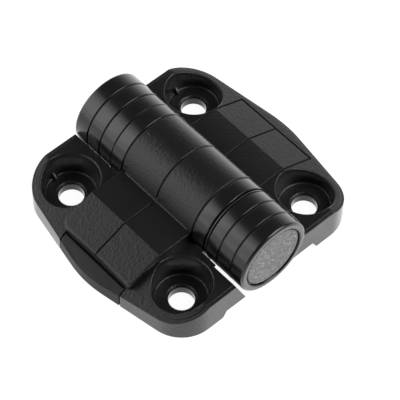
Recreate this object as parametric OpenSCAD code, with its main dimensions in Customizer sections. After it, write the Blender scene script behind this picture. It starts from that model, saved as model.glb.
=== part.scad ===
// Surface-mount friction hinge: two moulded leaves, a pin through three knuckles,
// and a stack of spring clips on the pin that holds the leaves at any angle.
// X runs across the leaves, Y along the barrel, Z up from the mounting face.
// The origin is on the mounting face, under the middle of the barrel.

/* [Leaves] */
// Distance between the screw holes across the barrel
pitch_x = 42; // [40:0.5:52]
// Distance between the screw holes along the barrel
pitch_y = 42; // [40:0.5:56]
// Radius of the leaf round each outer screw hole
pad_r = 9.9; // [9:0.1:13]
// Distance from the barrel's middle to the outermost point of a leaf
leaf_reach = 34.5; // [33.6:0.1:40]
// Radius of the bowed outer side of a leaf
bow_r = 31; // [24:1:44]
// Height of the flat inner part of a leaf
leaf_h = 9.9; // [8.5:0.1:10.5]
// Fall of the outer part of a leaf, in degrees
fall = 23; // [12:1:25]
// Radius of a leaf's upper outer edge
edge_r = 0.5; // [0.3:0.1:0.8]

/* [Centre panels] */
// Length of both centre panels along the barrel
panel_len = 25.7; // [20:0.1:27]
// Width of the leaf beyond the panels' outer side, at its widest
border_w = 3.8; // [3.2:0.1:5]
// Rise of the fixed leaf's panel above its screw pads
panel_rise = 2.4; // [1:0.1:2.4]
// Rounding of the raised panel's edges
panel_edge_r = 1.2; // [0.8:0.1:1.3]
// Radius of the hollow between a centre panel and the barrel
crease_r = 0.8; // [0.4:0.1:1.2]
// Corner radius of the raised panel, seen from above
panel_corner_r = 1.6; // [1:0.1:3]
// Width of the decorative grooves in the panels
groove_w = 0.5; // [0.3:0.05:0.8]
// Depth of the decorative grooves in the panels
groove_depth = 0.4; // [0.2:0.05:0.8]

/* [Screw seats] */
// Diameter of the screw holes
screw_d = 6.6; // [5:0.1:7]
// Diameter of a screw recess at its mouth
recess_d = 15.2; // [13:0.1:15.4]
// Diameter of a screw recess at its floor
recess_floor_d = 14; // [11:0.1:14.2]
// Height of a recess floor above the mounting face
seat_h = 3; // [2.4:0.1:4]
// Depth of the bevel between a recess floor and its screw hole
seat_bevel = 0.6; // [0.3:0.1:1]
// Rounding between a recess floor and its wall
seat_fillet = 0.6; // [0.3:0.1:1]
// Rounding of a screw recess at its mouth
mouth_r = 0.6; // [0.2:0.1:0.8]
// Width of the rib that grips a screw cap
cap_rib_w = 1.6; // [1:0.1:2.4]
// Height of the rib that grips a screw cap
cap_rib_h = 1.6; // [1:0.1:2.4]

/* [Barrel] */
// Diameter of the barrel
barrel_d = 21.6; // [19:0.1:21.8]
// Height of the barrel's axis above the mounting face
axis_h = 11.2; // [11:0.1:12.5]
// Length of the barrel over its end faces
barrel_len = 62.8; // [62:0.2:70]
// Length of the centre knuckle
centre_len = 34.7; // [33:0.1:35.5]
// Gap at the centre knuckle's far end
far_gap = 0.2; // [0.2:0.05:0.5]
// Gap at the centre knuckle's near end, where the washer sits
near_gap = 1.25; // [1.1:0.05:1.4]
// Distance from the barrel's middle to the first ring groove at the near end
near_ring = 22.4; // [21:0.1:23]
// Distance from the barrel's middle to the first ring groove at the far end
far_ring = 21.8; // [21:0.1:23]
// Distance between the two ring grooves of an outer knuckle
ring_pitch = 4.65; // [4:0.05:5]
// Width of the ring grooves round the barrel
ring_w = 0.55; // [0.3:0.05:0.8]
// Depth of the ring grooves round the barrel
ring_depth = 0.4; // [0.2:0.05:0.6]
// Clearance between a leaf's inner upper edge and the near knuckle
inner_room = 1.2; // [1:0.1:2]
// Clearance between a leaf's inner lower edge and the other leaf when folded back
fold_gap = 0.15; // [0.15:0.05:0.5]
// Height of that lower edge above the mounting face
tip_z = 2; // [1.8:0.1:2.4]
// Clearance between the knuckles and the ledge beside the washer
ledge_room = 0.55; // [0.5:0.05:0.9]
// Length of that ledge
ledge_len = 5.3; // [2:0.1:6]
// Clearance on radius round the far knuckle
far_room = 0.4; // [0.35:0.05:0.8]
// Depth of the groove between the pads and the centre knuckle
valley = 0.9; // [0.4:0.1:1.2]
// Rounding of a leaf's inner upper edge
inner_r = 0.3; // [0.1:0.05:0.5]
// Relief under the fixed leaf's lips
lip_relief = 1.9; // [1:0.1:2.2]
// Relief under the webs that carry the knuckles
web_relief = 2.75; // [2.75:0.05:3.2]
// Distance from the barrel's middle to the mounting face
foot_in = 16; // [14:0.1:17]

/* [Pin and friction clips] */
// Diameter of the pin in the friction clips
pin_d = 8; // [6:0.1:8.4]
// Running clearance on radius between the pin and what turns on it
pin_fit = 0.03; // [0.01:0.01:0.08]
// Diameter of the pin's head
pin_head_d = 10; // [9:0.1:11]
// Diameter of the pin's tail
pin_tail_d = 7; // [5:0.1:7.5]
// Number of friction clips
clip_count = 18; // [10:1:20]
// Space between two friction clips
clip_gap = 0.2; // [0.1:0.05:0.5]
// Outside diameter of a friction clip
clip_d = 13.8; // [12:0.1:14]
// Width of a clip's anchor toe
toe_w = 2.4; // [1.6:0.1:3]
// Thickness of the centre knuckle's wall outside the toes
toe_wall = 1.1; // [0.9:0.1:2]
// Room round the clips in the centre knuckle
clip_room = 0.45; // [0.3:0.05:0.6]
// Opening of a clip, in degrees
clip_open = 34; // [20:1:60]

/* [End caps] */
// Diameter of an end cap's face
cap_d = 17.4; // [16.8:0.1:17.8]
// Width of the shadow gap round an end cap
cap_gap = 0.25; // [0.15:0.05:0.4]
// Radius of an end cap's edge
cap_edge_r = 0.4; // [0.2:0.05:0.6]
// Radius of the barrel's inner rim round an end cap
cap_mouth_r = 0.4; // [0.2:0.05:0.6]
// Rounding of the barrel's ends
end_r = 0.8; // [0.3:0.1:1]
// Depth of an end cap's face below the barrel's end
cap_sink = 0.25; // [0.1:0.05:0.5]
// Thickness of an end cap's face
cap_t = 1.1; // [0.8:0.1:1.6]
// Length of an end cap's spigot
spigot_len = 2.2; // [1.5:0.1:3]

/* [Edge insert] */
// Length of the edge insert along the barrel
insert_len = 22.2; // [16:0.1:23]
// Gap between the edge insert and the leaf
insert_gap = 0.3; // [0.15:0.05:0.5]
// Width of the step along the edge insert's outer side
insert_step_w = 0.45; // [0.3:0.05:0.6]
// Depth of that step
insert_step_h = 0.35; // [0.2:0.05:0.5]
// How far the edge insert lies below the leaf's slope
insert_sink = 0.1; // [0:0.05:0.3]
// Depth of the tongue that holds the edge insert
tongue_depth = 2.2; // [1.5:0.1:3]

/* [Hidden] */
barrel_r = barrel_d / 2;
leaf_half = pitch_y / 2 + pad_r;
barrel_half = barrel_len / 2;
centre_half = centre_len / 2;
panel_half = panel_len / 2;
grip_half = panel_half + ring_w / 2;
ridge_x = pitch_x / 2;
bow_x = leaf_reach - bow_r;
blank_in = 3;
insert_edge_r = 0.15;
panel_out = leaf_reach - border_w;
inner_top = barrel_r + inner_room;
inner_tip = axis_h - web_relief + fold_gap;
ledge_x = barrel_r + ledge_room;
ledge_depth = 1.2;
panel_root = 6;
panel_draft = 0.15;

far_start = centre_half + far_gap;
near_start = centre_half + near_gap;

// Inside the centre knuckle
clip_bore_r = clip_d / 2 + clip_room;
toe_room = 0.3;
toe_reach = barrel_r - toe_wall - toe_room;
clip_floor = 2;
clip_run = centre_len - clip_floor;
clip_pitch = clip_run / clip_count;
clip_t = clip_pitch - clip_gap;

// Inside the outer knuckles
cap_r = cap_d / 2;
cap_seat_r = cap_r + cap_gap;
cap_floor = cap_sink + cap_t;
spigot_r = cap_r - 0.9;
hub_depth = cap_floor + spigot_len + 0.8;
pin_end = 0.4;
flat_share = 0.42;

insert_half = insert_len / 2;
insert_margin = 0.3;
insert_in = panel_out + insert_margin;
tongue_t = 1.6;
tongue_z = 2.2;

washer_play = 0.85;
washer_t = near_gap - washer_play;
washer_r = barrel_r - 0.25;

black = [0.045, 0.045, 0.05];
satin = [0.07, 0.07, 0.075];
steel = [0.62, 0.63, 0.65];
spring_steel = [0.4, 0.42, 0.46];

function two_digits(i) = str(i < 10 ? "0" : "", i);
function clip_name(i) = str("friction_clip_", two_digits(i));

// Sides of the faceted rounding at a recess's mouth
mouth_sides = 72;

// Height of a leaf's top at distance x from the barrel's middle, raised by rise
function top_z(x, rise) = leaf_h + rise - max(0, x - ridge_x) * tan(fall);
// Height of the middle of a ball of radius r that touches that top from below
function ball_z(x, rise, r) =
    leaf_h + rise - max(r, (x - ridge_x) * tan(fall) + r / cos(fall));

// Direction in which the side of a leaf faces where it runs straight from a pad to the bow
tangent = let (dx = pitch_x / 2 - bow_x, dy = pitch_y / 2)
    atan2(dy, dx) - acos(min(1, (bow_r - pad_r) / norm([dx, dy])));

function arc(x, y, r, from, to, steps) =
    [for (i = [0:steps]) let (a = from + (to - from) * i / steps) [x + r * cos(a), y + r * sin(a)]];

// Outline of a leaf from above, on the +X side, drawn in by inset
function leaf_outline(inset) = concat(
    [[blank_in, -leaf_half + inset]],
    arc(pitch_x / 2, -pitch_y / 2, pad_r - inset, -90, -tangent, 14),
    arc(bow_x, 0, bow_r - inset, -tangent, tangent, 8),
    arc(pitch_x / 2, pitch_y / 2, pad_r - inset, tangent, 90, 14),
    [[blank_in, leaf_half - inset]]);

// Distance from the barrel's middle to the outer side of a leaf, at y
function outer_x(y) = abs(y) < bow_r * sin(tangent)
    ? bow_x + sqrt(bow_r * bow_r - y * y)
    : bow_x + (bow_r - abs(y) * sin(tangent)) / cos(tangent);

// Outline of a centre panel from above, with rounded outer corners; its inner end is in the barrel
function panel_outline(inset) = let (r = panel_corner_r) concat(
    [[barrel_r - 1, -panel_half + inset], [ridge_x, -panel_half + inset]],
    arc(panel_out - r, -panel_half + r, r - inset, -90, 0, 6),
    arc(panel_out - r, panel_half - r, r - inset, 0, 90, 6),
    [[ridge_x, panel_half - inset], [barrel_r - 1, panel_half - inset]]);

// A profile in X and Z, extruded along Y from y0 to y1
module along_y(y0, y1, profile) {
    translate([0, y1, 0]) rotate([90, 0, 0]) linear_extrude(y1 - y0) polygon(profile);
}

// A profile of radius and Y, turned about the barrel's axis
module turned(profile, sides = 96) {
    translate([0, 0, axis_h]) rotate([-90, 0, 0]) rotate_extrude($fn = sides) polygon(profile);
}

// A plain round bar about the barrel's axis
module bar(y0, y1, r) {
    turned([[0, y0], [r, y0], [r, y1], [0, y1]]);
}

// One leaf without its knuckles: flat inside, falling away outside, rounded round the top
module leaf_blank() {
    r = edge_r;
    hull() {
        linear_extrude(0.2) polygon(leaf_outline(0));
        for (p = leaf_outline(r)) translate([p.x, p.y, ball_z(p.x, 0, r)]) sphere(r, $fn = 16);
    }
}

// The space under a leaf beside the barrel, relief high
module under_relief(y0, y1, relief) {
    along_y(y0, y1, [[0, -1], [foot_in, -1], [foot_in, 0], [foot_in - relief * 0.6, relief], [0, relief]]);
}

// Radius of a recess's wall at height z
function wall_r(z) = (recess_floor_d + (recess_d - recess_floor_d) * (z - seat_h) / (leaf_h - seat_h)) / 2;

// One point on a recess's rounded mouth: turn is its place round the hole, roll its place on the rounding
function mouth_point(turn, roll) =
    let (z = top_z(pitch_x / 2 + recess_d / 2 * cos(turn), 0) - mouth_r,
         r = wall_r(z) + mouth_r * (1 - cos(roll)))
    [r * cos(turn), r * sin(turn), top_z(pitch_x / 2 + r * cos(turn), 0) - mouth_r * (1 - sin(roll))];

// A closed solid through rings of points, the first and the last of them flat
module ring_loft(rings) {
    n = len(rings[0]);
    last = len(rings) - 1;
    polyhedron([for (ring = rings) each ring], concat(
        [[for (i = [0:n - 1]) i]],
        [for (k = [0:last - 1]) for (i = [0:n - 1]) let (j = (i + 1) % n)
            each [[k * n + i, (k + 1) * n + i, k * n + j], [k * n + j, (k + 1) * n + i, (k + 1) * n + j]]],
        [[for (i = [n - 1:-1:0]) last * n + i]]));
}

// What rounds a recess's mouth, along the flat and along the slope of the leaf
module mouth_cutter() {
    turns = [for (i = [0:mouth_sides - 1]) 360 * i / mouth_sides];
    inner = recess_floor_d / 2 - 1;
    outer = recess_d / 2 + mouth_r;
    ring_loft(concat(
        [[for (t = turns) [inner * cos(t), inner * sin(t), seat_h + 0.5]]],
        [for (roll = [0:30:90]) [for (t = turns) mouth_point(t, roll)]],
        [[for (t = turns) [outer * cos(t), outer * sin(t), leaf_h + 1]]]));
}

// What a screw and its cap need: a tapered recess, a bevel and a hole
module screw_seat() {
    r = seat_fillet;
    foot = [recess_floor_d / 2, seat_h + r];
    high = leaf_h + 3;
    translate([pitch_x / 2, pitch_y / 2, 0]) difference() {
        union() {
            rotate_extrude($fn = 96) polygon(concat(
                [[0, seat_h - seat_bevel], [screw_d / 2, seat_h - seat_bevel]],
                [[screw_d / 2 + seat_bevel, seat_h]],
                arc(foot.x - r, foot.y, r, -90, 0, 4),
                [[wall_r(high), high], [0, high]]));
            mouth_cutter();
            translate([0, 0, -1]) cylinder(d = screw_d, h = seat_h + 1, $fn = 64);
        }
        cap_rib();
    }
}

// Small gusset on the end side of a recess, between its floor and its wall
module cap_rib() {
    r = recess_floor_d / 2;
    top = seat_h + cap_rib_h;
    translate([cap_rib_w / 2, 0, 0]) rotate([0, -90, 0]) linear_extrude(cap_rib_w)
        polygon([[seat_h - 1, r - cap_rib_h], [seat_h, r - cap_rib_h], [top, r - 0.1], [top, r + 2],
                 [seat_h - 1, r + 2]]);
}

module both_screw_seats() {
    screw_seat();
    mirror([0, 1, 0]) screw_seat();
}

// What is cut from a leaf beside the washer: close round the barrel, with a wider mouth
module close_room(y0, y1) {
    bar(y0, y1, barrel_r + far_room);
    translate([-barrel_r - 1, y0, -1]) cube([barrel_r + 1 + inner_tip, y1 - y0, axis_h + 1]);
    intersection() {
        slanted_room(y0, y1, ledge_x);
        translate([0, y0, leaf_h - ledge_depth]) cube([leaf_reach, y1 - y0, leaf_h]);
    }
}

// A groove across a panel's top from x0 to x1, in the middle of y
module cross_groove(y, x0, x1, rise) {
    deep = groove_depth;
    along_y(y - groove_w / 2, y + groove_w / 2, [
        [x0, top_z(x0, rise) - deep], [ridge_x, top_z(ridge_x, rise) - deep], [x1, top_z(x1, rise) - deep],
        [x1, leaf_h + rise + 1], [x0, leaf_h + rise + 1]]);
}

// A groove along a panel's outer side
module side_groove(x, half) {
    z = top_z(x, 0) - groove_depth;
    translate([x - groove_w / 2, -half, z]) cube([groove_w, 2 * half, leaf_h]);
}

// Slots that core out the underside of a leaf between its screw pads
module core_slots(rise) {
    slots = 4;
    pitch = (panel_len - 1.2) / slots;
    width = pitch - 1.7;
    x0 = foot_in + 1.6;
    x1 = panel_out - 4;
    skin = 2.4;
    for (i = [0:slots - 1]) {
        y = (i - (slots - 1) / 2) * pitch;
        along_y(y - width / 2, y + width / 2, [
            [x0, -1], [x0, top_z(x0, rise) - skin], [ridge_x, top_z(ridge_x, rise) - skin],
            [x1, top_z(x1, rise) - skin * 1.15], [x1, -1]]);
    }
}

// A knuckle from y0 to y1: chamfered by c at y0, rounded by r at y1, a groove at each of rings
module knuckle(y0, y1, rings, c, r) {
    turned(concat([[0, y0], [barrel_r - c, y0], [barrel_r, y0 + c]],
        [for (g = rings) each [[barrel_r, g - ring_w / 2], [barrel_r - ring_depth, g - ring_w / 6],
                               [barrel_r - ring_depth, g + ring_w / 6], [barrel_r, g + ring_w / 2]]],
        arc(barrel_r - r, y1 - r, r, 0, 90, 6), [[0, y1]]));
}

// What is cut from a leaf to clear a knuckle: all inside a slanted face with a rounded upper edge
module slanted_room(y0, y1, top) {
    r = inner_r;
    along_y(y0, y1, concat([[-barrel_r - 1, -1], [inner_tip, -1], [inner_tip, tip_z]],
        arc(top + r, leaf_h - r, r, 180, 90, 4),
        [[top + r, axis_h + 1], [-barrel_r - 1, axis_h + 1]]));
}

// The hollow rounding where a panel of height z meets the barrel, from -half to half
module crease(z, half) {
    r = crease_r;
    x = sqrt(pow(barrel_r + r, 2) - pow(z + r - axis_h, 2));
    meet = 180 + atan2(z + r - axis_h, x);
    along_y(-half, half, concat([[barrel_r - 1, z - 0.5], [x, z - 0.5]], arc(x, z + r, r, 270, meet, 6),
        [[barrel_r - 1, z + r + r * sin(meet)]]));
}

// The fixed leaf's raised centre panel
module raised_panel() {
    r = panel_edge_r;
    hull() {
        translate([0, 0, leaf_h - panel_root]) linear_extrude(0.2) polygon(panel_outline(-panel_draft));
        for (p = panel_outline(r)) translate([p.x, p.y, ball_z(p.x, panel_rise, r)]) sphere(r, $fn = 20);
    }
    crease(leaf_h + panel_rise, panel_half - r);
}

// Two flats across a round bar, for the pin's ends and the holes that hold them
module flatted_bar(y0, y1, d, fit) {
    intersection() {
        bar(y0, y1, d / 2 + fit);
        translate([0, (y0 + y1) / 2, axis_h])
            cube([d + 2, y1 - y0 + 2, 2 * flat_share * d + 2 * fit], center = true);
    }
}

// The edge insert's block and tongue, enlarged by play on every side that faces the leaf
module insert_block(play) {
    half = insert_half + play;
    translate([insert_in - play, -half, -1]) cube([leaf_reach, 2 * half, leaf_h + 4]);
    translate([insert_in - play - tongue_depth, -half + 2, tongue_z - play / 4])
        cube([tongue_depth + 1, 2 * (half - 2), tongue_t + play / 2]);
}

module leaf_fixed() {
    color(black) mirror([1, 0, 0]) difference() {
        union() {
            difference() {
                leaf_blank();
                under_relief(-leaf_half - 1, -centre_half, lip_relief);
                under_relief(-centre_half, centre_half, web_relief);
                under_relief(centre_half, leaf_half + 1, lip_relief);
                // The groove between the pads and the centre knuckle
                intersection() {
                    slanted_room(-centre_half, centre_half, ledge_x);
                    translate([0, -centre_half, leaf_h - valley]) cube([leaf_reach, centre_len, leaf_h]);
                }
            }
            raised_panel();
            knuckle(-centre_half, centre_half, [-grip_half, 0, grip_half], 0.2, 0.2);
        }
        // Room for the moving leaf's knuckles: wide at the near end, close at the far end
        slanted_room(-leaf_half - 1, -centre_half - ledge_len, inner_top);
        intersection() {
            slanted_room(-centre_half - ledge_len - 1, -centre_half, inner_top);
            translate([-barrel_r - 1, -leaf_half, -1]) cube([leaf_reach, leaf_half, leaf_h]);
        }
        close_room(-centre_half - ledge_len - 0.01, -centre_half);
        bar(centre_half, leaf_half + 1, barrel_r + far_room);
        translate([-barrel_r - 1, centre_half, -1]) cube([barrel_r + 1 + inner_tip, leaf_half, axis_h + 1]);
        both_screw_seats();
        cross_groove(0, barrel_r + 0.6, panel_out + 1, panel_rise);
        core_slots(0);
        insert_block(insert_gap);
        // Clip chamber with its key slot, and the bore for the pin
        bar(-centre_half - 1, centre_half - clip_floor, clip_bore_r);
        translate([0, -centre_half - 1, axis_h - toe_w / 2 - 0.2])
            cube([toe_reach + toe_room, centre_len + 1 - clip_floor, toe_w + 0.4]);
        bar(-centre_half, centre_half + 1, pin_d / 2 + pin_fit);
    }
}

module leaf_moving() {
    color(black) difference() {
        union() {
            difference() {
                leaf_blank();
                under_relief(-leaf_half - 1, leaf_half + 1, web_relief);
                slanted_room(-near_start, far_start, inner_top);
            }
            knuckle(far_start, barrel_half, [far_ring, far_ring + ring_pitch], 0.15, end_r);
            mirror([0, 1, 0])
                knuckle(near_start, barrel_half, [near_ring, near_ring + ring_pitch], 0.15, end_r);
        }
        both_screw_seats();
        for (y = [-panel_half, 0, panel_half]) cross_groove(y, barrel_r, panel_out, 0);
        side_groove(panel_out, panel_half);
        core_slots(0);
        // Seats for the end caps, and the holes that hold the pin
        for (side = [0, 1]) mirror([0, side, 0]) {
            bar(barrel_half - cap_floor, barrel_half + 1, cap_seat_r);
            turned(concat([[0, barrel_half - cap_mouth_r]],
                arc(cap_seat_r + cap_mouth_r, barrel_half - cap_mouth_r, cap_mouth_r, 180, 90, 4),
                [[cap_seat_r + cap_mouth_r, barrel_half + 1], [0, barrel_half + 1]]));
            bar(barrel_half - hub_depth, barrel_half, spigot_r + 0.02);
        }
        flatted_bar(far_start - 1, barrel_half, pin_tail_d, 0.02);
        flatted_bar(-barrel_half, -near_start + 1, pin_head_d, 0.02);
    }
}

module pin() {
    color(steel) union() {
        flatted_bar(-barrel_half + hub_depth - pin_end, -near_start + 0.1, pin_head_d, 0);
        bar(-near_start, far_start - 0.05, pin_d / 2);
        flatted_bar(far_start - 0.1, barrel_half - hub_depth + pin_end, pin_tail_d, 0);
    }
}

module thrust_washer() {
    y0 = -centre_half - (near_gap + washer_t) / 2;
    color(satin) difference() {
        bar(y0, y0 + washer_t, washer_r);
        bar(y0 - 1, y0 + washer_t + 1, pin_head_d / 2 + 0.3);
    }
}

// A round cap with a spigot, seated in the barrel's far end
module end_cap() {
    face = barrel_half - cap_sink;
    back = barrel_half - cap_floor + 0.02;
    turned([[0, back - spigot_len], [spigot_r - 0.3, back - spigot_len], [spigot_r, back - spigot_len + 0.3],
            [spigot_r, back], [cap_r, back],
            each arc(cap_r - cap_edge_r, face - cap_edge_r, cap_edge_r, 0, 90, 5), [0, face]]);
}

module end_cap_near() {
    color(satin) mirror([0, 1, 0]) end_cap();
}

module end_cap_far() {
    color(satin) end_cap();
}

// Outline of the edge insert from above, its outer side drawn in by outer, its other sides by inset
function insert_outline(outer, inset) = let (half = insert_half - inset) concat(
    [[insert_in + inset, -half]],
    [for (i = [-8:8]) let (y = half * i / 8) [outer_x(y) - outer, y]],
    [[insert_in + inset, half]]);

// A slab of the edge insert whose outer side is drawn in by outer and whose top is drop lower
module insert_slab(outer, drop) {
    r = insert_edge_r;
    hull() {
        translate([0, 0, 0.1]) linear_extrude(0.2) polygon(insert_outline(outer, 0));
        for (p = insert_outline(outer + r, r)) translate([p.x, p.y, ball_z(p.x, -drop, r)])
            sphere(r, $fn = 12);
    }
}

module edge_insert() {
    color(satin) mirror([1, 0, 0]) union() {
        insert_slab(0, insert_sink + insert_step_h);
        insert_slab(insert_step_w, insert_sink);
        translate([insert_in - tongue_depth, -insert_half + 2, tongue_z])
            cube([tongue_depth + 1, 2 * (insert_half - 2), tongue_t]);
    }
}

// A spring clip that grips the pin, with a toe that the fixed leaf's key slot holds
module friction_clip(i) {
    y0 = -centre_half + (i - 1) * clip_pitch + clip_gap / 2;
    color(spring_steel) translate([0, y0 + clip_t, axis_h]) rotate([90, 0, 0]) linear_extrude(clip_t)
        difference() {
            union() {
                circle(d = clip_d, $fn = 96);
                translate([-toe_reach, -toe_w / 2]) square([toe_reach, toe_w]);
            }
            circle(pin_d / 2 + pin_fit, $fn = 96);
            polygon([[0, 0], [clip_d * cos(clip_open / 2), clip_d * sin(clip_open / 2)],
                     [clip_d * cos(clip_open / 2), -clip_d * sin(clip_open / 2)]]);
        }
}

leaf_fixed();
leaf_moving();
pin();
thrust_washer();
end_cap_near();
end_cap_far();
edge_insert();
for (i = [1:clip_count]) friction_clip(i);
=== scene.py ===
# %% [markdown]
# # A friction hinge, dressed for the camera
# The real part is a cabinet hinge about 70 mm across: two black moulded leaves, a fat
# barrel with rings round it between them, and a stack of spring clips that hold the door
# where it is left. Its shapes come packed from the CAD. This lesson takes those solids,
# gives them the tiny edge radii that a moulding tool leaves, paints them, and lights them
# like a catalogue picture.

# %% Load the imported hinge
from math import acos, atan2, cos, hypot, pi, radians, sin, sqrt, tan

import bmesh
import bpy
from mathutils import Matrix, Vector, kdtree


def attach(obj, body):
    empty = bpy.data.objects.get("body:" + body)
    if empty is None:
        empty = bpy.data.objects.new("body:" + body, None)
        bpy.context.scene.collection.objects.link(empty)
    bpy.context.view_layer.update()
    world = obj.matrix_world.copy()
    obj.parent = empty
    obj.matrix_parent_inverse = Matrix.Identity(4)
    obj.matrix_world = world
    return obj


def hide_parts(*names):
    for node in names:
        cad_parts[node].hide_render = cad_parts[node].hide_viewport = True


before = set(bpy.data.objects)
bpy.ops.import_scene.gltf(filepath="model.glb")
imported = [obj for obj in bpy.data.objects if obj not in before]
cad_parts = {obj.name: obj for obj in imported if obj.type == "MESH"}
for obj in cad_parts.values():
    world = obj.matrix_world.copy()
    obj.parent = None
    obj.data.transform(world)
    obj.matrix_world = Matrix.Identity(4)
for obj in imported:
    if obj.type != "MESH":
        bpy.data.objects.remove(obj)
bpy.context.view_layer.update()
MM = 0.001

# %% [markdown]
# ## The camera
# The picture is a three-quarter view from above, taken with a long lens from about half a
# metre, so the far end of the barrel is hardly smaller than the near one. Turning and
# tilting a camera by hand drifts, so the three angles, the distance and the lens are
# written as numbers, and the camera's axes are built from them. The lens was fitted as a
# focal length in pixels of a picture 400 pixels wide, so it is turned into millimetres of a
# full-frame sensor.

# %% Set the camera
VIEW_AZIMUTH, VIEW_ELEVATION, VIEW_ROLL = (radians(a) for a in (-43.485, 54.736, 1.502))
VIEW_DISTANCE = 534.953 * MM
VIEW_AIM = (3.161 * MM, 1.481 * MM)
FOCAL_PIXELS, PICTURE_PIXELS = 2092.514, 400
SENSOR = 36.0


def camera_axes(azimuth, elevation, roll):
    """Right, up and backward directions of a camera that looks at the origin."""
    back = Vector((sin(azimuth) * cos(elevation), -cos(azimuth) * cos(elevation), sin(elevation)))
    right = Vector((cos(azimuth), sin(azimuth), 0))
    up = back.cross(right)
    return cos(roll) * right + sin(roll) * up, -sin(roll) * right + cos(roll) * up, back


def stand(thing, across, over, out, place):
    """Put a camera or lamp at a place, with its x, y and z axes along three directions."""
    for row in range(3):
        for column, direction in enumerate((across, over, out, place)):
            thing.matrix_world[row][column] = direction[row]


right, up, back = camera_axes(VIEW_AZIMUTH, VIEW_ELEVATION, VIEW_ROLL)
camera = bpy.data.objects.new("studio_camera", bpy.data.cameras.new("studio_camera"))
bpy.context.scene.collection.objects.link(camera)
camera.data.sensor_width = SENSOR
camera.data.lens = FOCAL_PIXELS / PICTURE_PIXELS * SENSOR
camera.data.clip_start = 10 * MM
place = right * VIEW_AIM[0] + up * VIEW_AIM[1] + back * VIEW_DISTANCE
stand(camera, right, up, back, place)
bpy.context.scene.camera = camera
print("camera at", [round(c, 3) for c in place], "lens", round(camera.data.lens, 1), "mm")

# %% [markdown]
# ## The softboxes
# Black plastic has almost no colour of its own: what the eye reads is what it mirrors. The
# catalogue picture shows one big softbox at the left and a smaller, stronger one at the
# right. That is why every face that leans left is grey, and every small edge that faces
# the reader carries a thin bright line. A second lamp over the left softbox gives its
# brighter middle.

# %% Hang the softboxes
LAMP_DISTANCE = 0.6


def aim_lamp(name, azimuth, elevation, width, height, radiance):
    """A softbox: a rectangular lamp that faces the origin, as bright as radiance seen from it."""
    azimuth, elevation = radians(azimuth), radians(elevation)
    lamp = bpy.data.objects.new(name, bpy.data.lights.new(name, "AREA"))
    lamp.data.shape = "RECTANGLE"
    lamp.data.size, lamp.data.size_y = width, height
    lamp.data.energy = radiance * pi * width * height
    bpy.context.scene.collection.objects.link(lamp)
    across = Vector((-sin(azimuth), cos(azimuth), 0))
    out = Vector((cos(azimuth) * cos(elevation), sin(azimuth) * cos(elevation), sin(elevation)))
    stand(lamp, across, out.cross(across), out, out * LAMP_DISTANCE)
    print(name, "at", [round(c * LAMP_DISTANCE, 2) for c in out])


aim_lamp("softbox_wide", azimuth=138, elevation=32, width=0.85, height=0.62, radiance=1.4)
aim_lamp("softbox_core", azimuth=130, elevation=34, width=0.45, height=0.34, radiance=1.3)
aim_lamp("softbox_right", azimuth=-50, elevation=44, width=0.46, height=0.40, radiance=6.0)

# %% [markdown]
# ## The room
# The level faces are nearly black in the picture and the walls aren't, so the room is
# bright near the horizon, dark overhead, and dimmer in front than behind. A ramp on a
# ray's height gives the first two, a second scale on how far it points forward gives the
# third, and what the camera sees of the room directly is plain white.

# %% Light the room
SKY_STEPS = [(0.0, 1.2), (0.1, 1.1), (0.3, 0.47), (0.5, 0.22), (0.7, 0.10), (1.0, 0.085)]
SKY_FRONT = {"From Min": -0.45, "From Max": 0.2, "To Min": 0.3, "To Max": 1.0}
WHITE = (1, 1, 1, 1)


def feed(tree, value, slot):
    """Link a socket to a node's input, or set the input to a plain value."""
    if isinstance(value, bpy.types.NodeSocket):
        tree.links.new(value, slot)
    else:
        slot.default_value = value


def mixed(tree, factor, first, second, blend="MIX"):
    """The colour that a Mix node gives."""
    node = tree.nodes.new("ShaderNodeMix")
    node.data_type = "RGBA"
    node.blend_type = blend
    for label, value in (("Factor", factor), ("A", first), ("B", second)):
        feed(tree, value, node.inputs[label])
    return node.outputs["Result"]


world = bpy.data.worlds.new("studio")
bpy.context.scene.world = world
world.use_nodes = True
sky = world.node_tree
sky.nodes.clear()
sky_way = sky.nodes.new("ShaderNodeSeparateXYZ")
sky.links.new(sky.nodes.new("ShaderNodeTexCoord").outputs["Generated"], sky_way.inputs[0])
sky_ramp = sky.nodes.new("ShaderNodeValToRGB")
sky_ramp.color_ramp.interpolation = "B_SPLINE"
while len(sky_ramp.color_ramp.elements) < len(SKY_STEPS):
    sky_ramp.color_ramp.elements.new(0.5)
for step, (height, level) in zip(sky_ramp.color_ramp.elements, SKY_STEPS):
    step.position = height
    step.color = (level, level, level, 1)
sky.links.new(sky_way.outputs["Z"], sky_ramp.inputs[0])
sky_front = sky.nodes.new("ShaderNodeMapRange")
sky_front.interpolation_type = "SMOOTHSTEP"
for label, value in SKY_FRONT.items():
    sky_front.inputs[label].default_value = value
sky.links.new(sky_way.outputs["Y"], sky_front.inputs["Value"])
sky_dimmed = mixed(sky, 1.0, sky_ramp.outputs["Color"], sky_front.outputs["Result"], "MULTIPLY")
sky_seen = sky.nodes.new("ShaderNodeLightPath").outputs["Is Camera Ray"]
sky_light = sky.nodes.new("ShaderNodeBackground")
sky.links.new(mixed(sky, sky_seen, sky_dimmed, WHITE), sky_light.inputs["Color"])
sky.links.new(sky_light.outputs[0], sky.nodes.new("ShaderNodeOutputWorld").inputs[0])
bpy.context.scene.view_settings.view_transform = "Standard"
print("room:", len(SKY_STEPS), "steps from the horizon up,", len(sky.nodes), "nodes")

# %% [markdown]
# ## The floor
# The hinge lies on white board. Lit board is never quite as white as the picture's, so
# what the camera and the reflections see is mostly a plain glow, with a thin share of real
# shading left in it that keeps the soft shadow under the part. Every other ray meets an
# ordinary white board, which throws light up at the hinge.

# %% Lay the floor
FLOOR_HALF = 6.0
BOARD_GLOW, BOARD_THIN, BOARD_FULL = 0.93, 0.2, 0.8


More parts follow.
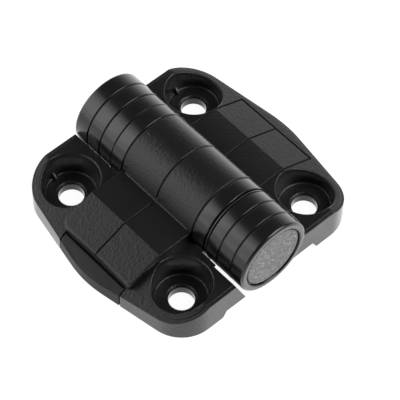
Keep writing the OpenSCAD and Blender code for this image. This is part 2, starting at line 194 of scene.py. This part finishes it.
def maths(tree, operation, first, second=0.5, third=None, clamp=False):
    """The value that a Math node gives."""
    node = tree.nodes.new("ShaderNodeMath")
    node.operation = operation
    node.use_clamp = clamp
    for slot, value in zip(node.inputs, (first, second, third)):
        if value is not None:
            feed(tree, value, slot)
    return node.outputs[0]


bm = bmesh.new()
bmesh.ops.create_grid(bm, x_segments=1, y_segments=1, size=FLOOR_HALF)
floor_mesh = bpy.data.meshes.new("studio_floor")
bm.to_mesh(floor_mesh)
bm.free()
floor = bpy.data.objects.new("studio_floor", floor_mesh)
bpy.context.scene.collection.objects.link(floor)

board = bpy.data.materials.new("white_board")
board.use_nodes = True
tree = board.node_tree
tree.nodes.clear()
board_rays = tree.nodes.new("ShaderNodeLightPath")
seen = board_rays.outputs["Is Camera Ray"]
for ray in ("Is Glossy Ray", "Is Transmission Ray"):
    seen = maths(tree, "MAXIMUM", seen, board_rays.outputs[ray])
board_glow = tree.nodes.new("ShaderNodeEmission")
board_glow.inputs["Strength"].default_value = BOARD_GLOW
board_thin = tree.nodes.new("ShaderNodeBsdfDiffuse")
board_thin.inputs["Color"].default_value = (BOARD_THIN, BOARD_THIN, BOARD_THIN, 1)
board_full = tree.nodes.new("ShaderNodeBsdfDiffuse")
board_full.inputs["Color"].default_value = (BOARD_FULL, BOARD_FULL, BOARD_FULL, 1)
board_seen = tree.nodes.new("ShaderNodeAddShader")
tree.links.new(board_glow.outputs[0], board_seen.inputs[0])
tree.links.new(board_thin.outputs[0], board_seen.inputs[1])
board_mix = tree.nodes.new("ShaderNodeMixShader")
tree.links.new(seen, board_mix.inputs[0])
tree.links.new(board_full.outputs[0], board_mix.inputs[1])
tree.links.new(board_seen.outputs[0], board_mix.inputs[2])
tree.links.new(board_mix.outputs[0], tree.nodes.new("ShaderNodeOutputMaterial").inputs[0])
floor_mesh.materials.append(board)
print("floor", 2 * FLOOR_HALF, "m wide")

# %% [markdown]
# ## Finishes: shared node groups
# The moulding tool was spark-eroded, which leaves a fine leathery grain, except where it
# was polished. One group makes that grain as a height from two sizes of noise, with its
# cell size and how strongly the large one shows. Another gives the slow cloudiness that
# any moulded face has, from the way the melt flowed, and the odd speck of dust.

# %% Build the shared groups
COARSE_CELLS = 0.42
CLOUD_CELLS = 95.0
DUST_CELLS, DUST_REACH = 330.0, 0.035
DUST_PATCHES, DUST_FEW = 410.0, 0.6


def new_group(name, inputs, outputs):
    """An empty shader group with float inputs (name, value) and outputs."""
    group = bpy.data.node_groups.new(name, "ShaderNodeTree")
    for label, value in inputs:
        socket = group.interface.new_socket(label, in_out="INPUT", socket_type="NodeSocketFloat")
        socket.default_value = value
    for label in outputs:
        group.interface.new_socket(label, in_out="OUTPUT", socket_type="NodeSocketFloat")
    return group, group.nodes.new("NodeGroupInput"), group.nodes.new("NodeGroupOutput")


def noise(tree, place, scale, detail):
    """A noise texture's value at place."""
    node = tree.nodes.new("ShaderNodeTexNoise")
    tree.links.new(place, node.inputs["Vector"])
    feed(tree, scale, node.inputs["Scale"])
    node.inputs["Detail"].default_value = detail
    return node.outputs["Fac"]


grain, grain_in, grain_out = new_group(
    "spark_grain", [("Cells", 2600.0), ("Coarse", 0.5)], ["Height"])
grain_place = grain.nodes.new("ShaderNodeTexCoord").outputs["Object"]
fine = noise(grain, grain_place, grain_in.outputs["Cells"], detail=2.0)
coarse_scale = maths(grain, "MULTIPLY", grain_in.outputs["Cells"], COARSE_CELLS)
coarse = noise(grain, grain_place, coarse_scale, detail=1.0)
coarse_share = maths(grain, "MULTIPLY", coarse, grain_in.outputs["Coarse"])
grain.links.new(maths(grain, "ADD", fine, coarse_share), grain_out.inputs["Height"])

cloud, cloud_in, cloud_out = new_group("flow_cloud", [("Strength", 0.1)], ["Shift", "Dust"])
cloud_place = cloud.nodes.new("ShaderNodeTexCoord").outputs["Object"]
slow = maths(cloud, "SUBTRACT", noise(cloud, cloud_place, CLOUD_CELLS, detail=3.0), 0.5)
shift = maths(cloud, "MULTIPLY", slow, cloud_in.outputs["Strength"])
cloud.links.new(shift, cloud_out.inputs["Shift"])
specks = cloud.nodes.new("ShaderNodeTexVoronoi")
specks.inputs["Scale"].default_value = DUST_CELLS
cloud.links.new(cloud_place, specks.inputs["Vector"])
speck_near = maths(cloud, "LESS_THAN", specks.outputs["Distance"], DUST_REACH)
patches = noise(cloud, cloud_place, DUST_PATCHES, detail=0.0)
speck_few = maths(cloud, "GREATER_THAN", patches, DUST_FEW)
cloud.links.new(maths(cloud, "MULTIPLY", speck_near, speck_few), cloud_out.inputs["Dust"])
print("groups:", [g.name for g in bpy.data.node_groups])

# %% [markdown]
# The barrel has two finishes in one moulding: the tool's middle is grained, and the end
# bands between the rings are polished. A third group finds those bands from where a point
# lies: near the hinge line, and further along it than the last ring of the middle.

# %% Find the polished bands
AXIS_HEIGHT = 11.2 * MM
GLOSS_REACH = 11.25 * MM
GLOSS_START = 13.1 * MM

bands, bands_in, bands_out = new_group(
    "barrel_bands", [("Reach", GLOSS_REACH), ("Start", GLOSS_START)], ["Polished"])
spot = bands.nodes.new("ShaderNodeSeparateXYZ")
bands.links.new(bands.nodes.new("ShaderNodeTexCoord").outputs["Object"], spot.inputs[0])
lift = maths(bands, "SUBTRACT", spot.outputs["Z"], AXIS_HEIGHT)
lift_squared = maths(bands, "MULTIPLY", lift, lift)
reach_squared = maths(bands, "MULTIPLY_ADD", spot.outputs["X"], spot.outputs["X"], lift_squared)
reach = maths(bands, "SQRT", reach_squared)
close = maths(bands, "LESS_THAN", reach, bands_in.outputs["Reach"])
along = maths(bands, "ABSOLUTE", spot.outputs["Y"])
far_along = maths(bands, "GREATER_THAN", along, bands_in.outputs["Start"])
bands.links.new(maths(bands, "MULTIPLY", close, far_along), bands_out.inputs["Polished"])
print("polished from", round(GLOSS_START / MM, 2), "mm along the barrel")

# %% [markdown]
# ## The mouldings' finishes
# The leaves, the crescent insert and the washer are black plastic, but each came from its
# own tool, so they differ in grain and gloss. One function mixes such a plastic: nearly
# black, with a skin that shines at a slant, and smoothest where the tool was polished. The
# end caps get a grey base, a painted sheen that stands in for the bright grazing light on
# the barrel's ends, with pale flecks on it; so the same function can let the grain's peaks
# turn pale and make the whole partly metallic.

# %% Mix the plastics
SKIN_ROUGH, SKIN_GAIN, SKIN_START = 0.16, 2.2, -0.66
CLOUDINESS = 0.16
PALE_TIMES, PALE_MORE = 6, 0.02
DUST_SHOWS = 0.5
BAND_SKIN, BAND_GRAIN = 0.25, 0.08


def new_finish(name):
    """A new material, with its node tree and its shader."""
    material = bpy.data.materials.new(name)
    material.use_nodes = True
    return material, material.node_tree, material.node_tree.nodes["Principled BSDF"]


def add_group(tree, group, **values):
    """Place a group in a material and set its inputs."""
    node = tree.nodes.new("ShaderNodeGroup")
    node.node_tree = group
    for label, value in values.items():
        node.inputs[label].default_value = value
    return node


def roughen(tree, shader, height, depth):
    """Let a height, that is depth deep, turn a shader's normal."""
    bump = tree.nodes.new("ShaderNodeBump")
    bump.inputs["Distance"].default_value = depth
    tree.links.new(height, bump.inputs["Height"])
    tree.links.new(bump.outputs["Normal"], shader.inputs["Normal"])


def moulded_finish(name, colour, rough, cells, coarse, depth, polished=None, ior=1.46,
                   coat=1.0, speckle=0.0, metal=0.0):
    """A moulding's finish. cells, coarse and depth are its grain's; polished is how rough the
    barrel's bands are, if it has any; coat scales the shine at a slant, speckle is how much
    the grain's peaks show pale, and metal is how metallic the finish is."""
    material, tree, shader = new_finish(name)
    shader.inputs["IOR"].default_value = ior
    shader.inputs["Metallic"].default_value = metal
    shader.inputs["Coat Roughness"].default_value = SKIN_ROUGH
    flow = add_group(tree, cloud, Strength=CLOUDINESS)
    height = add_group(tree, grain, Cells=cells, Coarse=coarse).outputs["Height"]
    slant = tree.nodes.new("ShaderNodeLayerWeight").outputs["Facing"]
    skin = maths(tree, "MULTIPLY_ADD", slant, SKIN_GAIN, SKIN_START, clamp=True)
    dust = maths(tree, "MULTIPLY", flow.outputs["Dust"], DUST_SHOWS)
    peaks = maths(tree, "MULTIPLY_ADD", height, speckle, -speckle * (0.5 + 0.5 * coarse))
    pale = [min(1, c * PALE_TIMES + PALE_MORE) for c in colour]
    tint = mixed(tree, maths(tree, "ADD", peaks, dust, clamp=True), (*colour, 1), (*pale, 1))
    roughness = maths(tree, "ADD", flow.outputs["Shift"], rough)
    if polished is not None:
        mask = add_group(tree, bands).outputs["Polished"]
        kept = maths(tree, "SUBTRACT", 1.0, mask)
        shine = maths(tree, "MULTIPLY", mask, polished)
        roughness = maths(tree, "MULTIPLY_ADD", roughness, kept, shine)
        left = maths(tree, "MULTIPLY_ADD", kept, 1 - BAND_GRAIN, BAND_GRAIN)
        height = maths(tree, "MULTIPLY", height, left)
        skin = maths(tree, "MULTIPLY_ADD", mask, BAND_SKIN, skin, clamp=True)
    tree.links.new(tint, shader.inputs["Base Color"])
    tree.links.new(roughness, shader.inputs["Roughness"])
    tree.links.new(maths(tree, "MULTIPLY", skin, coat), shader.inputs["Coat Weight"])
    roughen(tree, shader, height, depth)
    return material


leaf_black = moulded_finish(
    "leaf_black", (0.0062, 0.0063, 0.0065), rough=0.37, cells=2700.0, coarse=0.9, depth=80e-6,
    polished=0.24, ior=1.41)
insert_black = moulded_finish(
    "insert_black", (0.0125, 0.0126, 0.0128), rough=0.56, cells=3000.0, coarse=0.3, depth=6e-6,
    ior=1.36, coat=0.1)
# The caps' grey is painted sheen: a lighter colour that stands in for the grazing light on the
# barrel's end faces.
cap_painted_sheen_grey = moulded_finish(
    "cap_painted_sheen_grey", (0.115, 0.116, 0.118), rough=0.42, cells=3000.0, coarse=0.3, depth=60e-6,
    coat=0.3, speckle=2.2, metal=0.6)
washer_black = moulded_finish(
    "washer_black", (0.016, 0.016, 0.018), rough=0.30, cells=1800.0, coarse=0.2, depth=3e-6)
print("mouldings:", [m.name for m in (leaf_black, insert_black, cap_painted_sheen_grey, washer_black)])

# %% [markdown]
# ## The metals
# Inside the barrel a ground steel pin runs in a row of spring clips. The caps hide them,
# but each has its own finish for whoever opens the barrel: turning lines round the bright
# pin, and coarser lines and a blue cast on the clips. A noise that changes only along the
# hinge line gives the lines.

# %% Mix the metals
STEEL_CLOUDINESS = 0.2
LINE_SHADE = 0.7


def lined_steel(name, colour, rough, lines, depth):
    """Steel with fine lines round the hinge line, as turning or blanking leaves."""
    material, tree, shader = new_finish(name)
    shader.inputs["Metallic"].default_value = 1.0
    split = tree.nodes.new("ShaderNodeSeparateXYZ")
    join = tree.nodes.new("ShaderNodeCombineXYZ")
    tree.links.new(tree.nodes.new("ShaderNodeTexCoord").outputs["Object"], split.inputs[0])
    tree.links.new(split.outputs["Y"], join.inputs["Y"])
    streak = noise(tree, join.outputs[0], lines, detail=3.0)
    shade = [c * LINE_SHADE for c in colour]
    tree.links.new(mixed(tree, streak, (*colour, 1), (*shade, 1)), shader.inputs["Base Color"])
    flow = add_group(tree, cloud, Strength=STEEL_CLOUDINESS)
    tree.links.new(maths(tree, "ADD", flow.outputs["Shift"], rough), shader.inputs["Roughness"])
    roughen(tree, shader, streak, depth)
    return material


pin_steel = lined_steel("pin_steel", (0.56, 0.57, 0.58), rough=0.28, lines=9000.0, depth=3e-6)
clip_steel = lined_steel("clip_steel", (0.30, 0.31, 0.36), rough=0.34, lines=5000.0, depth=3e-6)
print("metals:", [m.name for m in (pin_steel, clip_steel)])

# %% [markdown]
# ## Sweeping a shape and cutting with it
# The leaves need a few forms that are easiest to cut or add here. Each is a helper: a face
# that is pushed along a level line or turned about an upright axis, over and over, and
# bent down where the leaf falls away beyond its ridge. An exact boolean then takes it out
# of the leaf, or joins it on. Every helper is drawn for the +X leaf, and mirrored for the
# other.

# %% Define the sweep and the cut
RIDGE = 21.0 * MM
FALL_ANGLE = radians(23)
SAME_PLACE = 1e-6


def end_of(bm, face, alone, swept):
    """The face at the end of a sweep. The face it started from goes, unless it is the first cap."""
    if not alone:
        bmesh.ops.delete(bm, geom=[face], context="FACES_ONLY")
    return next(g for g in swept if isinstance(g, bmesh.types.BMFace))


def pushed(bm, face, x, y):
    """Extrude one face along a level vector, and give back the face at its end."""
    alone = all(len(e.link_faces) == 1 for e in face.edges)
    swept = bmesh.ops.extrude_face_region(bm, geom=[face], use_keep_orig=True)["geom"]
    moved = [g for g in swept if isinstance(g, bmesh.types.BMVert)]
    bmesh.ops.translate(bm, vec=(x, y, 0), verts=moved)
    return end_of(bm, face, alone, swept)


def turned(bm, face, x, y, angle, steps):
    """Spin one face about an upright axis, and give back the face at its end."""
    swept = bmesh.ops.spin(bm, geom=[face], cent=(x, y, 0), axis=(0, 0, 1), angle=angle,
                           steps=steps, use_duplicate=False, use_merge=False)["geom_last"]
    return end_of(bm, face, False, swept)


def fall(x):
    """How far a leaf's top has dropped at x."""
    return max(0, x - RIDGE) * tan(FALL_ANGLE)


def fallen(bm):
    """Bend everything beyond the ridge down with the leaf's slope."""
    for vert in bm.verts:
        vert.co.z -= fall(vert.co.x)


def helper_object(bm, name, side):
    """A helper object from a mesh drawn on the +X side; side -1 mirrors it."""
    bmesh.ops.scale(bm, vec=(side, 1, 1), verts=bm.verts)
    bmesh.ops.recalc_face_normals(bm, faces=bm.faces)
    mesh = bpy.data.meshes.new(name)
    bm.to_mesh(mesh)
    bm.free()
    helper = bpy.data.objects.new(name, mesh)
    bpy.context.scene.collection.objects.link(helper)
    print(name, "for side", side, "has", len(mesh.polygons), "faces")
    return helper


def combine(bm, helper, operation):
    """Cut a helper object out of a mesh, or add it, with an exact boolean; the helper goes."""
    mesh = bpy.data.meshes.new("blank")
    bm.to_mesh(mesh)
    blank = bpy.data.objects.new("blank", mesh)
    bpy.context.scene.collection.objects.link(blank)
    work = blank.modifiers.new("work", "BOOLEAN")
    work.operation = operation
    work.solver = "EXACT"
    work.object = helper
    bpy.context.view_layer.update()
    done = blank.evaluated_get(bpy.context.evaluated_depsgraph_get())
    bm.clear()
    bm.from_mesh(done.to_mesh())
    done.to_mesh_clear()
    for gone in (blank, helper):
        data = gone.data
        bpy.data.objects.remove(gone)
        bpy.data.meshes.remove(data)


# %% [markdown]
# ## The stepped border
# Each leaf's top is framed by a narrow step that follows its outline. A step this thin
# would be fussy to draw, but it is easy to cut. A small rectangle is swept along the
# outline: straight along one end, round a screw pad, out to the bow, along it, and back in
# the same way.

# %% Sweep the border's cutter
PAD = (21.0 * MM, 21.0 * MM)
PAD_RADIUS = 9.9 * MM
BOW_CENTRE, BOW_RADIUS = 3.5 * MM, 31.0 * MM
LEAF_TOP = 9.9 * MM
STEP_WIDTH, STEP_DEPTH = 0.85 * MM, 0.3 * MM
OUTSIDE, ABOVE = 0.6 * MM, 0.7 * MM
BORDER_IN = 12.2 * MM
PAD_TURNS, BOW_TURNS = 14, 8


def border_bar(side):
    """A bar along one leaf's upper outline; side is -1 or 1."""
    run, rise = PAD[0] - BOW_CENTRE, PAD[1]
    turn = atan2(rise, run) - acos((BOW_RADIUS - PAD_RADIUS) / hypot(run, rise))
    step_x = (BOW_RADIUS - PAD_RADIUS) * cos(turn) - run
    step_y = rise - (BOW_RADIUS - PAD_RADIUS) * sin(turn)
    edge = -PAD[1] - PAD_RADIUS
    low, high = LEAF_TOP - STEP_DEPTH, LEAF_TOP + ABOVE
    bm = bmesh.new()
    end = bm.faces.new([bm.verts.new((BORDER_IN, edge + y, z)) for y, z in (
        (STEP_WIDTH, low), (STEP_WIDTH, high), (-OUTSIDE, high), (-OUTSIDE, low))])
    end = pushed(bm, end, PAD[0] - BORDER_IN, 0)
    end = turned(bm, end, PAD[0], -PAD[1], pi / 2 - turn, PAD_TURNS)
    end = pushed(bm, end, step_x, step_y)
    end = turned(bm, end, BOW_CENTRE, 0, 2 * turn, BOW_TURNS)
    end = pushed(bm, end, -step_x, step_y)
    end = turned(bm, end, PAD[0], PAD[1], pi / 2 - turn, PAD_TURNS)
    pushed(bm, end, BORDER_IN - PAD[0], 0)
    bmesh.ops.remove_doubles(bm, verts=bm.verts, dist=SAME_PLACE)
    fallen(bm)
    return helper_object(bm, "border_bar", side)


fixed_border, moving_border = border_bar(-1), border_bar(1)

# %% [markdown]
# ## The raised panel's crisp edges
# The fixed leaf's centre panel stands 2.4 mm proud. In the solid its edges are generously
# round; on the real part the long edges are crisp and only the outer corners are soft. So a
# crisper panel is made and added: a slab between the barrel and the insert, bent at the
# ridge, with its outer corners turned and its rim rounded a little.

# %% Make the crisper panel
PANEL_TOP = 12.31 * MM
PANEL_SUNK = 1.0 * MM
PANEL_HALF = 12.88 * MM
PANEL_IN, PANEL_OUT = 10.3 * MM, 30.68 * MM
PANEL_CORNER = 1.6 * MM
PANEL_RIM = 0.45 * MM
RIM_ANGLE = radians(50)


def crisp_panel(side):
    """The raised panel with crisp long edges and soft outer corners."""
    bm = bmesh.new()
    foot = LEAF_TOP - PANEL_SUNK
    end = bm.faces.new([bm.verts.new((PANEL_IN, y, z)) for y, z in (
        (-PANEL_HALF, foot), (PANEL_HALF, foot), (PANEL_HALF, PANEL_TOP), (-PANEL_HALF, PANEL_TOP))])
    end = pushed(bm, end, RIDGE - PANEL_IN, 0)
    pushed(bm, end, PANEL_OUT - RIDGE, 0)
    corners = [e for e in bm.edges if all(v.co.x > PANEL_OUT - SAME_PLACE for v in e.verts)
               and abs(e.verts[0].co.y - e.verts[1].co.y) < SAME_PLACE]
    bmesh.ops.bevel(bm, geom=corners, offset=PANEL_CORNER, offset_type="OFFSET",
                    affect="EDGES", segments=6, profile=0.5, material=-1)
    fallen(bm)
    bmesh.ops.recalc_face_normals(bm, faces=bm.faces)
    middle = (foot + PANEL_TOP) / 2
    rim = [e for e in bm.edges if e.calc_face_angle(0) > RIM_ANGLE
           and all(v.co.z > middle - fall(v.co.x) for v in e.verts)
           and max(v.co.x for v in e.verts) > PANEL_IN + SAME_PLACE]
    bmesh.ops.bevel(bm, geom=rim, offset=PANEL_RIM, offset_type="OFFSET", affect="EDGES",
                    segments=3, profile=0.5, material=-1)
    return helper_object(bm, "crisp_panel", side)


panel = crisp_panel(-1)

# %% [markdown]
# Two cutters finish the panel. The solid runs into the barrel with a wide hollow, and the
# real part with a tight one. The first cutter is what lies between the two: one arc of its
# outline is the tight hollow, and another follows the barrel up. The second cuts the groove
# across the panel again, with its floor bent at the ridge.

# %% Make the panel's cutters
BARREL_RADIUS = 10.83 * MM
HOLLOW = 0.35 * MM
HOLLOW_SUNK = 0.005 * MM
HOLLOW_RISE = radians(11)
HOLLOW_HALF, HOLLOW_OUT = 11.75 * MM, 12.0 * MM
GROOVE_DEPTH, GROOVE_HALF = 0.42 * MM, 0.27 * MM
GROOVE_IN, GROOVE_OUT = 11.3 * MM, 32.0 * MM


def arc(x, z, radius, start, stop, steps):
    """Points along an arc round (x, z)."""
    angles = [start + (stop - start) * i / steps for i in range(steps + 1)]
    return [(x + radius * cos(angle), z + radius * sin(angle)) for angle in angles]


def hollow_bar(side):
    """What is cut from the wide hollow beside the barrel to leave a tight one."""
    base = PANEL_TOP - HOLLOW_SUNK
    lift = base + HOLLOW - AXIS_HEIGHT
    middle = sqrt((BARREL_RADIUS + HOLLOW) ** 2 - lift ** 2)
    meet = atan2(lift, middle)
    points = arc(middle, base + HOLLOW, HOLLOW, 1.5 * pi, pi + meet, steps=6)
    points += arc(0, AXIS_HEIGHT, BARREL_RADIUS, meet, HOLLOW_RISE, steps=3)[1:]
    points += [(HOLLOW_OUT, points[-1][1]), (HOLLOW_OUT, base)]
    bm = bmesh.new()
    end = bm.faces.new([bm.verts.new((x, -HOLLOW_HALF, z)) for x, z in points])
    pushed(bm, end, 0, 2 * HOLLOW_HALF)
    return helper_object(bm, "hollow_bar", side)


def groove_bar(side):
    """The groove across the panel, with its floor bent at the ridge."""
    low, high = PANEL_TOP - GROOVE_DEPTH, PANEL_TOP + MM
    bm = bmesh.new()
    end = bm.faces.new([bm.verts.new((GROOVE_IN, y, z)) for y, z in (
        (-GROOVE_HALF, low), (GROOVE_HALF, low), (GROOVE_HALF, high), (-GROOVE_HALF, high))])
    end = pushed(bm, end, RIDGE - GROOVE_IN, 0)
    pushed(bm, end, GROOVE_OUT - RIDGE, 0)
    fallen(bm)
    return helper_object(bm, "groove_bar", side)


hollow, groove = hollow_bar(-1), groove_bar(-1)

# %% [markdown]
# ## Where a rounding fits
# A CAD solid arrives as loose triangles with knife edges. A real moulding has no knife
# edge: the tool's corners leave radii of a tenth of a millimetre or two, and those are the
# thin bright lines in the picture. A bevel on every outer corner would give them, but where
# two corners run closer together than the bevel is wide, it would fold over itself. So the
# corners are first gathered into unbroken runs, and points are set along them, half a
# radius of the rounding apart.

# %% Clean a solid and gather its corners
FLAT = radians(0.5)
POINTS_APART = 0.5


def cleaned(bm):
    """Merge a solid's loose triangles and dissolve the cuts inside its flats."""
    bmesh.ops.remove_doubles(bm, verts=bm.verts, dist=SAME_PLACE)
    bmesh.ops.dissolve_limit(bm, angle_limit=FLAT, verts=bm.verts, edges=bm.edges)


def runs(edges):
    """The edges as unbroken runs: at each vertex inside a run only two of the edges meet."""
    meeting = {}
    for edge in edges:
        for vert in edge.verts:
            meeting.setdefault(vert, []).append(edge)
    left, found = set(edges), []
    for edge in edges:
        if edge not in left:
            continue
        left.discard(edge)
        run, front = [edge], [edge]
        while front:
            for vert in front.pop().verts:
                for other in meeting[vert] if len(meeting[vert]) == 2 else ():
                    if other in left:
                        left.discard(other)
                        run.append(other)
                        front.append(other)
        found.append(run)
    return found


def points_along(edges, radius):
    """Points along the edges, each with the number of its run and its edge."""
    points = []
    for number, run in enumerate(runs(edges)):
        for edge in run:
            start, end = (vert.co for vert in edge.verts)
            steps = 2 + int((end - start).length / (POINTS_APART * radius))
            points += [(start.lerp(end, i / steps), number, edge) for i in range(steps + 1)]
    return points


# %% [markdown]
# A corner then stays sharp where a point of another run lies nearer than its rounding
# needs, which is nearly two radii. The ends of each edge, a fifth of it either way, are
# left out of the test, because there it meets its neighbours by design.

# %% Find the corners with room for a rounding
SHARP = radians(32)
ROOM = 1.9
EDGE_END = 0.2


def free_corners(bm, radius):
    """The outer corners that a rounding has room on, and how many outer corners there are."""
    corners = [e for e in bm.edges
               if len(e.link_faces) == 2 and e.calc_face_angle_signed(0) > SHARP]
    points = points_along(corners, radius)
    tree = kdtree.KDTree(len(points))
    for index, (point, number, edge) in enumerate(points):
        tree.insert(point, index)
    tree.balance()
    tight = set()
    for point, number, edge in points:
        end_part = EDGE_END * edge.calc_length()
        if edge in tight or any((point - vert.co).length < end_part for vert in edge.verts):
            continue
        for place, index, gap in tree.find_range(point, ROOM * radius):
            other = points[index]
            if other[1] != number and not set(other[2].verts) & set(edge.verts):
                tight.add(edge)
                break
    return [e for e in corners if e not in tight], len(corners)


# %% [markdown]
# ## Two forms set right
# The photo shows the small rib in a far screw recess at about half the solid's width, and a
# wider dark joint round the end cap. Both are a matter of moving a few vertices before the
# edges are rounded, on both leaves and both caps.

# %% Move the rib's and the cap's vertices
RIB_ASIDE, RIB_KEPT = 0.85 * MM, 0.5
RIB_Y, RIB_Z = (25.0 * MM, 28.6 * MM), (3.0 * MM, 4.7 * MM)
CAP_RIM_FROM, CAP_DRAWN = 8.2 * MM, 0.16 * MM


def narrow_rib(bm):
    """Squeeze the rib in a leaf's far screw recess."""
    for vert in bm.verts:
        side = 1 if vert.co.x > 0 else -1
        aside = abs(vert.co.x) - PAD[0]
        along = RIB_Y[0] < vert.co.y < RIB_Y[1]
        if along and abs(aside) < RIB_ASIDE and RIB_Z[0] < vert.co.z < RIB_Z[1]:
            vert.co.x -= (1 - RIB_KEPT) * aside * side


def slim_cap(bm):
    """Draw a cap's rim in a little, which widens the dark joint round it."""
    for vert in bm.verts:
        reach = hypot(vert.co.x, vert.co.z - AXIS_HEIGHT)
        if reach > CAP_RIM_FROM:
            vert.co.x *= 1 - CAP_DRAWN / reach
            vert.co.z = AXIS_HEIGHT + (vert.co.z - AXIS_HEIGHT) * (1 - CAP_DRAWN / reach)


# %% [markdown]
# ## The moulded pieces
# Each moulded piece is a copy of its solid: merged, cleaned of the cuts inside its flats,
# stepped if it is a leaf, bevelled along its free corners, and shaded smooth. Edges too
# short to be seen are dissolved just before the bevel, because it would fold up at them. A
# weighted normal keeps the flats flat, and the fold where a leaf starts to fall is kept
# sharp, because a smooth one would blur the two flats into each other. The pin is ground,
# but its edges are broken the same way, so it goes through the same function.

# %% Make the moulded pieces
LOW_RIDGE = radians(8)
RIDGE_NEAR = 0.02 * MM
SLIVER = 0.03 * MM


def keep_ridges(mesh):
    """Mark the fold where a leaf starts to fall sharp, so that both its sides stay flat."""
    bm = bmesh.new()
    bm.from_mesh(mesh)
    for edge in bm.edges:
        on_fold = all(abs(abs(vert.co.x) - RIDGE) < RIDGE_NEAR for vert in edge.verts)
        if on_fold and edge.calc_face_angle(0) > LOW_RIDGE:
            edge.smooth = False
    bm.to_mesh(mesh)
    bm.free()


def moulded(node, name, body, material, radius, work=(), reshape=None):
    """A copy of a CAD node, worked on with helpers, with rounded edges; it stands for the node."""
    bm = bmesh.new()
    bm.from_mesh(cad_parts[node].data)
    cleaned(bm)
    for helper, operation in work:
        combine(bm, helper, operation)
        cleaned(bm)
    if reshape:
        reshape(bm)
    bmesh.ops.dissolve_degenerate(bm, dist=SLIVER, edges=bm.edges)
    bm.normal_update()
    edges, corners = free_corners(bm, radius)
    bmesh.ops.bevel(bm, geom=edges, offset=radius, offset_type="OFFSET", affect="EDGES",
                    segments=2, profile=0.5, material=-1, clamp_overlap=False)
    mesh = bpy.data.meshes.new(name)
    bm.to_mesh(mesh)
    bm.free()
    mesh.polygons.foreach_set("use_smooth", [True] * len(mesh.polygons))
    mesh.set_sharp_from_angle(angle=SHARP)
    keep_ridges(mesh)
    mesh.materials.append(material)
    piece = bpy.data.objects.new(name, mesh)
    bpy.context.scene.collection.objects.link(piece)
    flats = piece.modifiers.new("flats_stay_flat", "WEIGHTED_NORMAL")
    flats.mode = "FACE_AREA"
    flats.keep_sharp = True
    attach(piece, body)
    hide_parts(node)
    print(name, len(edges), "of", corners, "corners rounded,", len(mesh.polygons), "faces")


moulded("leaf_fixed", "fixed_leaf_moulding", "fixed_leaf", leaf_black, 0.15 * MM,
        work=((fixed_border, "DIFFERENCE"), (hollow, "DIFFERENCE"), (panel, "UNION"),
              (groove, "DIFFERENCE")), reshape=narrow_rib)
moulded("leaf_moving", "moving_leaf_moulding", "moving_leaf", leaf_black, 0.12 * MM,
        work=((moving_border, "DIFFERENCE"),), reshape=narrow_rib)
moulded("edge_insert", "crescent_insert", "fixed_leaf", insert_black, 0.12 * MM)
for end in ("near", "far"):
    moulded("end_cap_" + end, "barrel_cap_" + end, "moving_leaf", cap_painted_sheen_grey, 0.15 * MM,
            reshape=slim_cap)
moulded("thrust_washer", "washer_ring", "moving_leaf", washer_black, 0.08 * MM)
moulded("pin", "hinge_pin", "moving_leaf", pin_steel, 0.15 * MM)

# %% [markdown]
# ## The spring clips
# The clips keep their CAD solids, because each is a plain bent strip with the right shape,
# and there are eighteen of them. They only need their finish.

# %% Finish the clips
clips = sorted(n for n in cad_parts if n.startswith("friction_clip"))
for clip in clips:
    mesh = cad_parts[clip].data
    mesh.materials.clear()
    mesh.materials.append(clip_steel)
print(len(clips), "clips finished")
